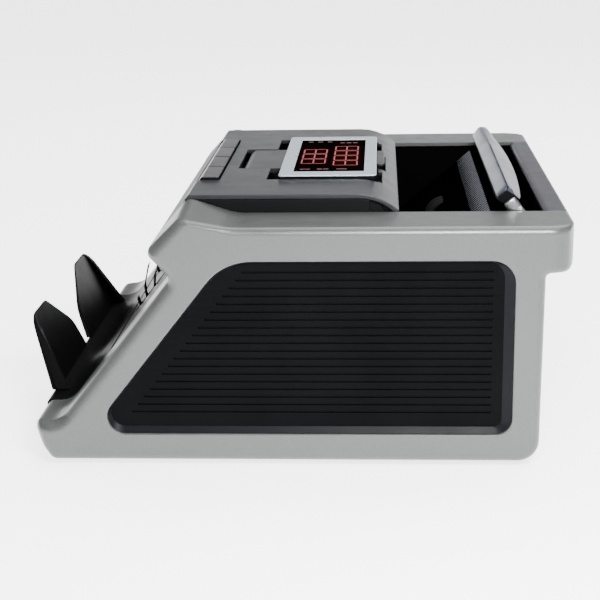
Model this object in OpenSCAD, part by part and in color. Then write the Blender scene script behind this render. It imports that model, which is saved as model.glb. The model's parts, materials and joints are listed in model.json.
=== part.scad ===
// Banknote counting machine: rear hopper, feed rollers, stacking wheels and front stacker.
// Millimetres. X runs across the machine, -Y is the operator's side, +Z is up.
// The origin is on the table, under the middle of the machine's box.

/* [Body] */
// Width over the two silver side housings
body_w = 280; // [270:1:290]
// Clear width between the housings, which takes the longest note
inner_w = 206; // [202:0.5:208]
// Length from the tip of the stacker guides to the rear cover
body_l = 299; // [297:0.5:301]
// Height of the rim above the table
rim_z = 130.5; // [129.5:0.1:131]
// Height of the flat top of the head
head_z = 140; // [139.5:0.1:140.5]
// Thickness of the moulded covers
wall = 3; // [2.5:0.1:3.2]
// Height of the rubber feet
foot_h = 3; // [2:0.5:4]

/* [Handle] */
// Length of the grip
grip_l = 194; // [180:1:196]

/* [Display] */
// Width of the display module
display_w = 123; // [118:1:124]
// Depth of the display module
display_d = 54.8; // [54:0.1:55]

/* [Keys] */
// Number of keys
key_count = 4; // [4:1:4]
// Distance from one key to the next
key_pitch = 31; // [30.5:0.1:31]

/* [Rollers] */
// Radius of the rubber feed rollers
feed_r = 20; // [19:0.1:20]
// Radius of the pick-up rollers in the hopper floor
kick_r = 13; // [12:0.1:13]
// Radius of the transport rollers
transport_r = 12; // [11.5:0.1:12]
// Radius over the fins of the stacking wheels
stacker_r = 43; // [40:0.5:43]
// Number of fins on a stacking wheel
fin_count = 12; // [8:1:14]

/* [Hidden] */
$fn = 96;
half_w = body_w / 2;
half_in = inner_w / 2;
rear_y = body_l / 2;
tip_y = -body_l / 2;
low_rear_y = rear_y - 15.7;
band_z = 106;
slope_foot = [-121.5, 24];
nose = [-70.5, 117.2];
undercut = [-58, 103.6];
fit = 0.4;
shaft_r = 4;
thin_r = 3;
pin_r = 2.5;
run = 0.05;
press = 0.02;
hole_r = 1.7;
foot_ys = [-105, 115];
shoulder_tilt = 5;
fr0 = half_in + 0.2;
fr1 = fr0 + 2;

// Hopper floor: a plane from the rear top edge down towards the feed rollers
floor_top = [111, 125];
floor_deg = 40;
floor_n = [-sin(floor_deg), cos(floor_deg)];
function on_floor(y) = [y, floor_top[1] - (floor_top[0] - y) * tan(floor_deg)];

// Shaft places, as [Y, Z]
feed_at = on_floor(55) - feed_r * floor_n;
kick_at = on_floor(84) - (kick_r - 1.2) * floor_n;
retard_r = 10;
retard_at = on_floor(55) + (retard_r + 0.8) * floor_n;
path_z = 66.5;
transport_at = [14, path_z + 0.5 - transport_r];
pinch_r = 8;
pinch_at = [14, path_z + 1.3 + pinch_r];
stacker_at = [-51, 60];
motor_at = [101, 33.5];
roller_x = 36;
wheel_w = 6;
pivot_at = [131, 118];
grip_at = [118.6, 137.2];
tilt_at = [-25.5, 134.8];
rocker_at = [129.5, 30];
rocker_x = -28;
inlet_at = [-70, 30];

// Belts: [inner radius at the first pulley, at the second] and the layers they run in
motor_pr = 9;
feed_pr = 21;
feed2_pr = 16;
transport_pr = 8;
stacker_pr = 24;
kick_pr = 9;
feed3_pr = 12;
belt_w = 5;
belt_t = 1.5;
layer1 = 108.5;
layer2 = 116;
layer3 = 123.5;

// Display
disp_y0 = -6.4;
disp_y1 = disp_y0 + display_d;
disp_top = 142;
win_w = 102;
win_y0 = 1.2;
win_y1 = 41.5;
well_y0 = -13;
arm_w = 58;
arm_pin_r = 1.5;
tab_w = 42;

// Keys
key_y0 = -52;
key_y1 = -40;
key_gap = 0.7;
key_top = head_z + 1.3;
key_lip = head_z - 2.6;
key_foot = head_z - 5.8;
key_travel = 1.2;

// ---- outlines -------------------------------------------------------------

function unit(v) = v / norm(v);
function turn(a, b) = a[0] * b[1] - a[1] * b[0];
function at(list, i) = list[(i + len(list)) % len(list)];

// One corner [y, z, radius] of a closed outline, as a point or as the points of its arc
function corner(a, p, b, r) =
    let (u = unit([a[0] - p[0], a[1] - p[1]]), v = unit([b[0] - p[0], b[1] - p[1]]))
    let (half = acos(max(-1, min(1, u * v))) / 2)
    r <= 0 || half > 89.5 ? [[p[0], p[1]]] :
    let (c = [p[0], p[1]] + unit(u + v) * r / sin(half))
    let (s = [p[0], p[1]] + u * r / tan(half) - c, sweep = 180 - 2 * half)
    let (way = turn(u, v) > 0 ? -1 : 1, n = max(3, ceil(sweep / 9)))
    [for (i = [0:n]) let (t = way * sweep * i / n)
        c + [s[0] * cos(t) - s[1] * sin(t), s[0] * sin(t) + s[1] * cos(t)]];

function rounded(list) =
    [for (i = [0:len(list) - 1]) each corner(at(list, i - 1), list[i], at(list, i + 1), list[i][2])];

// The same outline moved inwards by d; the corners run counter-clockwise
function inset(list, d) =
    [for (i = [0:len(list) - 1])
        let (a = at(list, i - 1), p = list[i], b = at(list, i + 1))
        let (u = unit([p[0] - a[0], p[1] - a[1]]), v = unit([b[0] - p[0], b[1] - p[1]]))
        let (m = [-u[1], u[0]], n = [-v[1], v[0]], k = 1 + m * n)
        let (q = [p[0], p[1]] + (m + n) * d / k)
        [q[0], q[1], turn(u, v) > 0 ? max(0, p[2] - d) : p[2] + d]];

module prism_x(points, x0, x1) {
    translate([x0, 0, 0]) rotate([90, 0, 90]) linear_extrude(x1 - x0) polygon(points);
}

module prism_y(points, y0, y1) {
    translate([0, y1, 0]) rotate([90, 0, 0]) linear_extrude(y1 - y0) polygon(points);
}

// A strip of the body's skin between the depths d0 and d1, where it lies inside keep
module skin(d0, d1, keep, reach) {
    intersection() {
        difference() {
            prism_x(rounded(inset(side_outline, d0)), -reach, reach);
            prism_x(rounded(inset(side_outline, d1)), -reach - 1, reach + 1);
        }
        prism_x(keep, -reach - 1, reach + 1);
    }
}

module prism_z(points, z0, z1) {
    translate([0, 0, z0]) linear_extrude(z1 - z0) polygon(points);
}

module box(x0, x1, y0, y1, z0, z1) {
    translate([x0, y0, z0]) cube([x1 - x0, y1 - y0, z1 - z0]);
}

module rod_x(p, r, x0, x1) {
    translate([x0, p[0], p[1]]) rotate([0, 90, 0]) cylinder(r = r, h = x1 - x0);
}

module both() {
    children();
    mirror([1, 0, 0]) children();
}

// Side view of the body, counter-clockwise seen from the right-hand side
side_outline = [
    [low_rear_y, foot_h, 11], [low_rear_y + 0.8, band_z, 3], [rear_y, band_z, 5],
    [rear_y, rim_z, 2], [-26, rim_z, 34], [-51.5, head_z - 0.3, 4],
    [nose[0], nose[1], 4], [undercut[0], undercut[1], 4],
    [slope_foot[0], slope_foot[1], 14], [-137.5, 24, 2.5], [-131.5, 10, 4],
    [-126, foot_h, 6]
];

// The long black inset in the side of a housing
inset_outline = [[119, 18.8, 9], [119, 113, 12], [-29.8, 113, 30], [-104.6, 18.8, 9.5]];

// Top surface of the head, from the front edge over the flat to the hopper edge
head_outline = [
    [60.5, 127.2, 0], [60.5, 130.9, 0.8], [50.7, head_z, 33], [-51.6, head_z, 1.2],
    [-58.8, head_z - 8.5, 0], [-58.8, 127.2, 0]
];

// Space under the head cover's skin
head_under = [
    [57.9, 118, 0], [57.9, 129.8, 0.5], [49.7, head_z - 2.6, 26], [-62, head_z - 2.6, 0],
    [-62, 118, 0]
];

// ---- side housings --------------------------------------------------------

// The raised shoulder beside the head falls a little towards the outside
module housing_solid(d, x0, x1) {
    difference() {
        intersection() {
            prism_x(rounded(inset(side_outline, d)), x0, x1);
            prism_z(rounded(inset([
                [half_in - 50, -137.5, 0], [half_w, -137.5, 14], [half_w, rear_y, 14],
                [half_in - 50, rear_y, 0]
            ], d)), -1, 150);
        }
        translate([half_in, -90, head_z - 0.3 - d]) rotate([0, shoulder_tilt, 0])
            cube([60, 80, 20]);
    }
}

module side_panel() {
    color("silver") difference() {
        housing_solid(0, half_in, half_w);
        housing_solid(wall, half_in - 1, half_w + 1);
        prism_x(rounded(inset_outline), half_w - wall - 1, half_w + 1);
        for (y = foot_ys) translate([120, y, 0]) cylinder(r = hole_r, h = 10);
    }
}

module side_inset() {
    rib_p = 4.25;
    rib_z = 30.3;
    low = inset_outline[3];
    high = inset_outline[2];
    color([0.07, 0.08, 0.09]) difference() {
        prism_x(rounded(inset(inset_outline, 0.15)), half_w - 6.5, half_w - 0.3);
        prism_x(rounded(inset(inset_outline, 3.6)), half_w - 3.2, half_w + 1);
        for (z = [rib_z:rib_p:108]) {
            edge = low[0] + (z - low[1]) * (high[0] - low[0]) / (high[1] - low[1]);
            box(half_w - 3.8, half_w, edge + 14, 108, z - 0.35, z + 0.35);
        }
    }
}

module side_panel_right() {
    side_panel();
}

module side_panel_left() {
    mirror([1, 0, 0]) side_panel();
}

module side_inset_right() {
    side_inset();
}

module side_inset_left() {
    mirror([1, 0, 0]) side_inset();
}

// Steel side frame that carries every shaft; it is also the hopper's side wall
module side_frame() {
    color([0.1, 0.1, 0.11]) difference() {
        prism_x(rounded(inset(side_outline, wall + 0.6)), fr0, fr1);
        for (p = [feed_at, kick_at, transport_at, stacker_at])
            rod_x(p, 8 + run, fr0 - 1, fr1 + 1);
        rod_x(pinch_at, thin_r + run, fr0 - 1, fr1 + 1);
        rod_x(motor_at, 7, fr0 - 1, fr1 + 1);
        rod_x(pivot_at, pin_r + run, fr0 - 1, fr1 + 1);
    }
}

module side_frame_right() {
    side_frame();
}

module side_frame_left() {
    mirror([1, 0, 0]) side_frame();
}

module base_pan() {
    color([0.18, 0.18, 0.2]) difference() {
        box(0.2 - half_in, half_in - 0.2, -117, 128.5, foot_h + 0.2, 18);
        box(2 - half_in, half_in - 2, -120, 130, foot_h + 2, 20);
        for (x = [-80:20:80]) box(x - 1.5, x + 1.5, -60, -20, 0, 10);
    }
}

module rubber_feet() {
    color([0.05, 0.05, 0.05]) both() for (y = foot_ys) translate([120, y, 0])
        difference() {
            cylinder(r = 9, h = foot_h);
            translate([0, 0, -1]) cylinder(r = 3.4, h = 2.6);
            translate([0, 0, -1]) cylinder(r = hole_r, h = 10);
        }
}

// Four screws through the feet and four in the rear panel
module housing_screws() {
    color("gray") both() {
        for (y = foot_ys) translate([120, y, 0]) {
            translate([0, 0, 0.5]) cylinder(r = 3, h = 1.1);
            translate([0, 0, 1.59]) cylinder(r = 1.5, h = 7);
        }
        for (z = [14, 98]) translate([94, 0, z]) rotate([-90, 0, 0]) {
            translate([0, 0, 122]) cylinder(r = 1.5, h = 9.41);
            translate([0, 0, 131.4]) cylinder(r = 3, h = 1.8);
        }
    }
}

// ---- stacker --------------------------------------------------------------

module stacker_tray() {
    keep = [[-150, 0], [-117.2, 0], [-117.2, 12], [-100, 22], [-100, 60], [-150, 60]];
    color([0.05, 0.05, 0.06]) skin(0.1, 2.8, keep, half_in - 0.2);
}

// One of the two outward-leaning guides that hold the counted notes: a plate with an outer gusset
module prong() {
    base_z = 23.9;
    gusset_t = 3.6;
    plate = [
        [-136.5, base_z, 0], [tip_y, 62.4, 0.3], [tip_y + 0.7, 63.4, 0.3],
        [-133.2, base_z, 0]
    ];
    gusset = [
        [-136.5, base_z, 0], [tip_y, 62.4, 0.6], [tip_y + 0.7, 63.4, 0.6], [-142.6, 53.5, 20],
        [-134, 41, 20], [-124.2, 28, 1], [-124.6, 24.5, 0], [-128.2, base_z, 0]
    ];
    front = [
        [6.5, base_z, 0], [88, base_z, 0], [73.5, 63.6, 13], [40, 63.6, 10], [10.4, 42, 14]
    ];
    color([0.06, 0.06, 0.07]) {
        intersection() {
            prism_x(rounded(plate), 0, 100);
            prism_y(rounded(front), -160, -110);
        }
        intersection() {
            prism_x(rounded(gusset), 0, 100);
            difference() {
                prism_y(rounded(front), -160, -110);
                translate([-gusset_t, 0, 0]) prism_y(rounded(front), -161, -109);
            }
        }
    }
}

module stacker_prong_right() {
    prong();
}

module stacker_prong_left() {
    mirror([1, 0, 0]) prong();
}

// Sloping plate behind the notes, with a slot for each stacking wheel
module stacker_back_plate() {
    keep = [[-99.5, 40], [-50, 40], [-50, 107], [-99.5, 107]];
    color([0.05, 0.05, 0.06]) difference() {
        skin(0.6, 2.4, keep, half_in - 0.2);
        both() rod_x(stacker_at, stacker_r + 1.5, roller_x - 5.5, roller_x + 5.5);
    }
}

// Front of the head, notched under the keys
module front_fascia() {
    keep = [[-80, 107.4], [-50, 107.4], [-50, key_lip - 0.2], [-80, key_lip - 0.2]];
    color([0.05, 0.05, 0.06]) difference() {
        skin(0.2, 2.4, keep, half_in - fit);
        box(-key_pitch * 2 - 1, key_pitch * 2 + 1, -60, -45, key_lip - key_travel - 0.3, head_z);
    }
}

// ---- head -----------------------------------------------------------------

module head_cover() {
    color([0.45, 0.46, 0.49]) difference() {
        prism_x(rounded(head_outline), -half_in + fit, half_in - fit);
        prism_x(rounded(head_under), -half_in - 1, half_in + 1);
        // display opening, arm slot, tab notch and the two rear slots
        box(-display_w / 2 - 0.8, display_w / 2 + 0.8, well_y0, disp_y1 + 0.8, 130, 150);
        box(-arm_w / 2 - 1, arm_w / 2 + 1, -32, 0, 130, 150);
        box(-tab_w / 2 - 1, tab_w / 2 + 1, 40, disp_y1 + 5.2, 130, 150);
        both() box(30, 60, 40, disp_y1 + 3, 130, 150);
        // key pocket, open to the front
        box(-key_pitch * 2 - 0.4, key_pitch * 2 + 0.4, -60, key_y1 + 0.6, 130, 150);
    }
}

module head_frame() {
    color([0.13, 0.13, 0.14]) difference() {
        intersection() {
            prism_x(rounded(inset(head_under, 0.1)), -half_in, half_in);
            union() {
                both() box(half_in - 3.2, half_in - 0.6, -49, 45, 122, 140);
                both() box(half_in - 5.6, half_in - 3.1, 42, 58, 122, 140);
                both() box(arm_w / 2 + 2, arm_w / 2 + 6, tilt_at[0] - 4, tilt_at[0] + 4, 122,
                    tilt_at[1] + 2.4);
                box(-half_in + 0.6, half_in - 0.6, -49, 57.7, 122, 124);
            }
        }
        rod_x(tilt_at, arm_pin_r + run, -arm_w, arm_w);
    }
}

module key_board() {
    color([0.1, 0.35, 0.2]) {
        box(-66, 66, -49, -35, 127.6, 129.2);
        for (i = [0:key_count - 1]) {
            x = (i - 1.5) * key_pitch;
            box(x - 3, x + 3, -49, -43, 129.19, 132.4);
        }
    }
    color([0.1, 0.35, 0.2]) both() translate([60, -38, 124]) cylinder(r = 2.5, h = 3.61);
}

module one_key(i) {
    x = (i - 2.5) * key_pitch;
    w = key_pitch / 2 - key_gap / 2;
    section = [
        [key_y1, key_foot, 0.3], [key_y1, key_top, 0.8], [key_y0 + 1.9, key_top, 1.3],
        [key_y0 - 1.3, key_lip, 0.5], [key_y0 + 2.8, key_lip, 0.3], [key_y0 + 2.8, key_foot, 0.3]
    ];
    color([0.42, 0.43, 0.46]) prism_x(rounded(section), x - w, x + w);
}

module key_1() {
    one_key(1);
}

module key_2() {
    one_key(2);
}

module key_3() {
    one_key(3);
}

module key_4() {
    one_key(4);
}

// ---- display module -------------------------------------------------------

function rect(w, y0, y1, r) = [[w / 2, y0, r], [w / 2, y1, r], [-w / 2, y1, r], [-w / 2, y0, r]];

module display_tray() {
    color([0.07, 0.07, 0.08]) {
        difference() {
            prism_z(rounded(rect(display_w - 0.6, disp_y0 + 0.3, disp_y1 - 0.3, 1.5)), 129, 140.4);
            prism_z(rounded(rect(display_w - 4, disp_y0 + 2, disp_y1 - 2, 1)), 131, 150);
        }
        // thumb tab at the rear
        prism_z(rounded(rect(tab_w, disp_y1 - 1, disp_y1 + 4.2, 1.5)), 137.6, 139.2);
    }
}

module display_bezel() {
    color([0.72, 0.76, 0.8]) difference() {
        prism_z(rounded(rect(display_w, disp_y0, disp_y1, 1.5)), 140.4, disp_top);
        prism_z(rounded(rect(win_w, win_y0, win_y1, 0.5)), 130, 150);
    }
}

module display_window() {
    color([0.12, 0.03, 0.03]) prism_z(rounded(rect(win_w - 0.2, win_y0 + 0.1, win_y1 - 0.1, 0.4)),
        140.4, 141.6);
}

module display_board() {
    color([0.1, 0.35, 0.2]) box(-56, 56, disp_y0 + 4, disp_y1 - 4, 131, 132.6);
    color([0.1, 0.1, 0.1]) {
        box(-30, 32, 22.5, 38.5, 132.6, 139.8);
        box(-22, 26, 4, 20, 132.6, 139.8);
    }
}

// Tongue that joins the display to its hinge pin
module display_arm() {
    color([0.45, 0.46, 0.49]) {
        difference() {
            union() {
                rod_x(tilt_at, 4.9, -arm_w / 2, arm_w / 2);
                box(-arm_w / 2, arm_w / 2, tilt_at[0], disp_y0 + 0.29, 136.6, 139.7);
            }
            rod_x(tilt_at, arm_pin_r + press, -arm_w, arm_w);
        }
        rod_x(tilt_at, arm_pin_r, -arm_w / 2 - 6, arm_w / 2 + 6);
    }
}

// ---- hopper, rear ---------------------------------------------------------

module hopper_floor() {
    low = on_floor(50);
    under = 1.8 * floor_n;
    color([0.05, 0.05, 0.06]) difference() {
        prism_x([low, low - under, floor_top - under, floor_top], -half_in + 0.1, half_in - 0.1);
        both() rod_x(feed_at, feed_r + 1, roller_x - 13.5, roller_x + 13.5);
        both() rod_x(kick_at, kick_r + 1, roller_x - 11.5, roller_x + 11.5);
    }
}

module hopper_front_plate() {
    section = [
        [60.3, 100, 8], [60.3, 127.1, 0], [58.4, 127.1, 0], [58.4, 101, 6],
        [55.4, 98.4, 0.4], [56.6, 97, 0.4]
    ];
    color([0.05, 0.05, 0.06]) prism_x(rounded(section), -half_in + 0.6, half_in - 0.6);
}

// Channel across the top, for the folded handle and the fingers under it
module handle_well() {
    section = [
        [140.4, 110, 2], [136.6, 128.2, 0], [134.9, 128, 0], [138.1, 112, 1.5],
        [118, 112, 3], [114, 125.5, 0.5], [112.3, 125.4, 0], [116.2, 110, 3]
    ];
    color([0.04, 0.04, 0.05]) prism_x(rounded(section), -half_in + 0.2, half_in - 0.2);
}

module rear_cover() {
    y1 = rear_y - 0.3;
    z0 = band_z + 0.3;
    outer = [
        [141, z0, 0], [y1, z0, 5], [y1, rim_z + 0.2, 2], [136.2, rim_z - 0.4, 3], [141, z0 + 5, 0]
    ];
    hollow = [
        [143.6, z0 + 3, 0.8], [y1 - 3, z0 + 3, 1], [y1 - 3, rim_z - 2.8, 1], [139.6, rim_z - 2.8, 1]
    ];
    color([0.42, 0.42, 0.46]) {
        difference() {
            prism_x(rounded(outer), 0.3 - half_in, half_in - 0.3);
            prism_x(rounded(hollow), -half_in, half_in);
        }
        box(0.3 - half_in, half_in - 0.3, 131.8, 141.2, z0, z0 + 3);
    }
}

module rear_panel() {
    color([0.16, 0.16, 0.18]) difference() {
        box(-half_in + 0.3, half_in - 0.3, 129, 131.4, foot_h + 2.3, band_z + 3.8);
        box(inlet_at[0] - 13.7, inlet_at[0] + 13.7, 120, 140, inlet_at[1] - 10.2, inlet_at[1] + 10.2);
        box(rocker_x - 7, rocker_x + 7, 120, 140, rocker_at[1] - 10.4, rocker_at[1] + 10.4);
        for (i = [0:7]) box(0, 80, 120, 140, 56 + i * 5.5, 58.5 + i * 5.5);
        both() for (z = [14, 98]) translate([94, 120, z]) rotate([-90, 0, 0])
            cylinder(r = hole_r, h = 20);
    }
}

// Three-pole mains inlet with its contact pins
module inlet_socket() {
    x = inlet_at[0];
    z = inlet_at[1];
    shell = [
        [x - 12.2, z - 8.3, 1.5], [x + 12.2, z - 8.3, 1.5], [x + 12.2, z + 4.4, 0.5],
        [x + 8.3, z + 8.3, 0.5], [x - 8.3, z + 8.3, 0.5], [x - 12.2, z + 4.4, 0.5]
    ];
    color([0.08, 0.08, 0.08]) difference() {
        union() {
            box(x - 13.5, x + 13.5, 111, 131.4, z - 10, z + 10);
            box(x - 15.5, x + 15.5, 131.4, 133.2, z - 12, z + 12);
        }
        prism_y(rounded(shell), 116, 140);
    }
    color("silver") {
        for (dx = [-7, 7]) box(x + dx - 1, x + dx + 1, 115.99, 129, z - 3.6, z);
        box(x - 1, x + 1, 115.99, 130, z, z + 4);
    }
}

module switch_frame() {
    x = rocker_x;
    z = rocker_at[1];
    color([0.06, 0.06, 0.06]) difference() {
        union() {
            box(x - 6.8, x + 6.8, 114, 131.4, z - 10.2, z + 10.2);
            box(x - 7.8, x + 7.8, 131.4, 133, z - 11.2, z + 11.2);
        }
        box(x - 5.6, x + 5.6, 124, 140, z - 9.7, z + 9.7);
    }
}

module power_rocker() {
    rest = [
        [-3.6, -3, 1], [0, -8.4, 1], [5, -8.6, 0.6], [3.6, 0, 12], [5, 8.6, 0.6], [0, 8.4, 1],
        [-3.6, 3, 1]
    ];
    color([0.55, 0.05, 0.04]) translate([rocker_x - 5.2, rocker_at[0], rocker_at[1]])
        rotate([-7, 0, 0]) prism_x(rounded(rest), 0, 10.4);
}

// ---- note path ------------------------------------------------------------

module lower_guide() {
    section = [
        [-6, path_z - 1.5, 0.3], [36.5, path_z - 1.5, 10], [46, 69.4, 0.3], [45.4, 70.8, 0.3],
        [36, path_z, 10], [-6, path_z, 0.3]
    ];
    color([0.35, 0.36, 0.38]) difference() {
        prism_x(rounded(section), -half_in + 0.2, half_in - 0.2);
        both() rod_x(transport_at, transport_r + 1.2, roller_x - 9.2, roller_x + 9.2);
        both() rod_x(feed_at, feed_r + 1.2, roller_x - 13.2, roller_x + 13.2);
        both() rod_x(stacker_at, stacker_r + 1.5, roller_x - 5.5, roller_x + 5.5);
    }
}

module upper_guide() {
    z = path_z + 3;
    section = [
        [-6, z, 0.3], [36, z, 10], [43.6, z + 5.6, 0.3], [42.6, z + 6.8, 0.3],
        [35.4, z + 1.4, 9], [-6, z + 1.4, 0.3]
    ];
    color([0.35, 0.36, 0.38]) difference() {
        prism_x(rounded(section), -half_in + 0.2, half_in - 0.2);
        both() rod_x(pinch_at, pinch_r + 1.2, roller_x - 7.2, roller_x + 7.2);
        both() rod_x(retard_at, retard_r + 1.2, roller_x - 8.2, roller_x + 8.2);
        both() rod_x(stacker_at, stacker_r + 1.5, roller_x - 5.5, roller_x + 5.5);
    }
}

// Two fixed friction rollers that hold back all but one note
module retard_rollers() {
    color([0.1, 0.1, 0.1]) {
        rod_x(retard_at, thin_r, -fr0, fr0);
        both() difference() {
            rod_x(retard_at, retard_r, roller_x - 7, roller_x + 7);
            rod_x(retard_at, thin_r + press, roller_x - 8, roller_x + 8);
        }
    }
}

module sensor_bars() {
    color([0.08, 0.08, 0.1]) {
        box(-86, 86, 26.5, 35, 72.6, 83);
        box(-86, 86, 27, 35, 54, 64.9);
    }
}

module tie_rods() {
    color("silver") for (p = [[-22, 114], [112, 72], [-92, 24]]) rod_x(p, 4, -fr0, fr0);
}

module bearings() {
    color("silver") both() for (p = [feed_at, kick_at, transport_at, stacker_at])
        difference() {
            rod_x(p, 8, fr0 - 0.1, fr1 + 2);
            rod_x(p, shaft_r + run, fr0 - 1, fr1 + 3);
        }
}

// ---- drive ----------------------------------------------------------------

module motor_body() {
    color([0.45, 0.46, 0.48]) difference() {
        union() {
            rod_x(motor_at, 22, 22, 82);
            rod_x(motor_at, 9, 81.9, 88);
            box(81.9, 84, motor_at[0] - 24, motor_at[0] + 24, foot_h + 2, 57);
            box(60, 83, motor_at[0] - 24, motor_at[0] + 24, foot_h + 2, foot_h + 4);
        }
        rod_x(motor_at, thin_r + run, 70, 90);
    }
}

// Motor shaft with the drive pulley on its end
module motor_shaft() {
    color("silver") rod_x(motor_at, thin_r, 70.1, layer1 + belt_w + 2);
    color([0.3, 0.3, 0.32]) difference() {
        rod_x(motor_at, motor_pr, layer1 - 0.5, layer1 + belt_w + 0.5);
        rod_x(motor_at, thin_r + press, layer1 - 1, layer1 + belt_w + 1);
    }
}

// Flat belt round two pulleys at p (radius a) and q (radius b)
function loop_points(p, a, q, b, grow) =
    let (d = q - p, far = norm(d), base = atan2(d[1], d[0]), lean = acos((a - b) / far))
    let (ra = a + grow, rb = b + grow)
    concat(
        [for (i = [0:28]) let (t = base + lean + (360 - 2 * lean) * i / 28)
            p + ra * [cos(t), sin(t)]],
        [for (i = [0:28]) let (t = base - lean + 2 * lean * i / 28)
            q + rb * [cos(t), sin(t)]]
    );

module belt(p, a, q, b, x0) {
    color([0.07, 0.07, 0.07]) difference() {
        prism_x(loop_points(p, a, q, b, 0.35 + belt_t), x0, x0 + belt_w);
        prism_x(loop_points(p, a, q, b, 0.35), x0 - 1, x0 + belt_w + 1);
    }
}

module drive_belt() {
    belt(motor_at, motor_pr, feed_at, feed_pr, layer1);
}

module transport_belts() {
    belt(feed_at, feed2_pr, transport_at, transport_pr, layer2);
    belt(transport_at, transport_pr, stacker_at, stacker_pr, layer3);
}

module kick_belt() {
    belt(feed_at, feed3_pr, kick_at, kick_pr, -layer1 - belt_w);
}

module shaft(p, x0, x1) {
    color("silver") rod_x(p, shaft_r, x0, x1);
}

module pulley(p, r, x0) {
    color([0.3, 0.3, 0.32]) difference() {
        rod_x(p, r, x0 - 0.5, x0 + belt_w + 0.5);
        rod_x(p, shaft_r + press, x0 - 1, x0 + belt_w + 1);
        if (r > 14) for (t = [0:60:300])
            rod_x(p + (r + shaft_r) / 2 * [cos(t), sin(t)], r * 0.17, x0 - 1, x0 + belt_w + 1);
    }
}

module roller(p, r, w, tread) {
    color([0.12, 0.12, 0.13]) both() difference() {
        rod_x(p, r, roller_x - w / 2, roller_x + w / 2);
        rod_x(p, shaft_r + press, roller_x - w, roller_x + w);
        if (tread) for (s = [-1, 1]) difference() {
            rod_x(p, r + 1, roller_x + s * w / 5 - 0.6, roller_x + s * w / 5 + 0.6);
            rod_x(p, r - 1, roller_x - w, roller_x + w);
        }
    }
}

module feed_shaft() {
    shaft(feed_at, -layer1 - 8, layer2 + 7);
    pulley(feed_at, feed_pr, layer1);
    pulley(feed_at, feed2_pr, layer2);
    pulley(feed_at, feed3_pr, -layer1 - belt_w);
}

module feed_rollers() {
    roller(feed_at, feed_r, 24, true);
}

module kick_shaft() {
    shaft(kick_at, -layer1 - 8, fr1 + 3);
    pulley(kick_at, kick_pr, -layer1 - belt_w);
}

module kick_rollers() {
    roller(kick_at, kick_r, 20, true);
}

module transport_shaft() {
    shaft(transport_at, -fr1 - 3, layer3 + 7);
    pulley(transport_at, transport_pr, layer2);
    pulley(transport_at, transport_pr, layer3);
}

module transport_rollers() {
    roller(transport_at, transport_r, 16, false);
}

module pinch_rollers() {
    color("silver") rod_x(pinch_at, thin_r, -fr1 - 1, fr1 + 1);
    color([0.2, 0.2, 0.22]) both() difference() {
        rod_x(pinch_at, pinch_r, roller_x - 6, roller_x + 6);
        rod_x(pinch_at, thin_r + press, roller_x - 8, roller_x + 8);
    }
}

module stacker_shaft() {
    shaft(stacker_at, -fr1 - 3, layer3 + 7);
    pulley(stacker_at, stacker_pr, layer3);
}

// A fin curls back from the hub to the rim, so a note slides in between two fins
function fin_line(side) =
    [for (i = [0:10]) let (s = i / 10, r = 13 + (stacker_r - 13) * s, t = -95 * s * s)
        let (half = 1.1 - 0.5 * s, a = t + side * half * 57.3 / r)
        r * [cos(a), sin(a)]];

module fin() {
    right_side = fin_line(-1);
    left_side = fin_line(1);
    polygon(concat(right_side, [for (i = [len(left_side) - 1:-1:0]) left_side[i]]));
}

module stacker_wheels() {
    color([0.06, 0.06, 0.07]) both()
        translate([roller_x - wheel_w / 2, stacker_at[0], stacker_at[1]]) rotate([90, 0, 90])
            difference() {
                union() {
                    cylinder(r = 15, h = wheel_w);
                    for (i = [0:fin_count - 1]) rotate(i * 360 / fin_count)
                        linear_extrude(wheel_w) fin();
                }
                translate([0, 0, -1]) cylinder(r = shaft_r + press, h = wheel_w + 2);
            }
}

// ---- electronics ----------------------------------------------------------

module main_board() {
    color([0.1, 0.35, 0.2]) {
        box(-94, 60, -4, 48, 12, 13.6);
        box(-80, -56, 6, 30, 13.59, 17);
        box(-30, -10, 10, 30, 13.59, 16);
        box(10, 40, 30, 40, 13.59, 22);
        for (x = [-44, -2, 52]) translate([x, 4, 13.59]) cylinder(r = 4, h = 14);
        for (x = [-90, 56], y = [0, 44]) translate([x, y, foot_h + 2])
            cylinder(r = 3, h = 12 - foot_h - 2 + 0.01);
    }
}

module power_supply() {
    color([0.6, 0.61, 0.62]) {
        box(-98, -44, 56, 104, foot_h + 2, 36);
        box(-94, -48, 60, 100, 35.9, 38);
    }
}

// ---- handle ---------------------------------------------------------------

module grip_half(section) {
    color([0.5, 0.53, 0.6]) intersection() {
        prism_x(rounded(section), -grip_l / 2, grip_l / 2);
        translate([0, 128.6 - 1200, 100]) cylinder(r = 1200, h = 60, $fn = 720);
    }
}

module handle_grip_front() {
    grip_half([
        [112.2, 134.6, 1.5], [117.25, 132, 0], [117.25, 142.9, 0.8], [112.2, 138.4, 1.5]
    ]);
}

module handle_grip_rear() {
    grip_half([
        [117.35, 132, 0], [125.5, 132.6, 3], [131, 138.6, 3], [117.35, 142.9, 0.8]
    ]);
}

module handle_end_caps() {
    color([0.06, 0.06, 0.07]) both()
        prism_x(rounded([
            [113, 134.4, 1.5], [117.5, 132.4, 1], [123.6, 133, 2], [124.4, 137.6, 2],
            [117.5, 141.8, 1], [113, 138.2, 1.5]
        ]), grip_l / 2, grip_l / 2 + 1.6);
}

// Two bent arms, each with its pivot pin
module handle_arms() {
    arm_r = 3.2;
    x0 = grip_l / 2 + 1.6;
    x1 = x0 + 3;
    d = unit(pivot_at - grip_at);
    n = [-d[1], d[0]];
    color("silver") both() {
        rod_x(grip_at, arm_r, x0, x1);
        prism_x([grip_at + arm_r * n, grip_at - arm_r * n, pivot_at - arm_r * n,
            pivot_at + arm_r * n], x0, x1);
        rod_x(pivot_at, arm_r, x0, x1);
        rod_x(pivot_at, pin_r, x1 - 0.5, fr1 + 2);
    }
}

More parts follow.
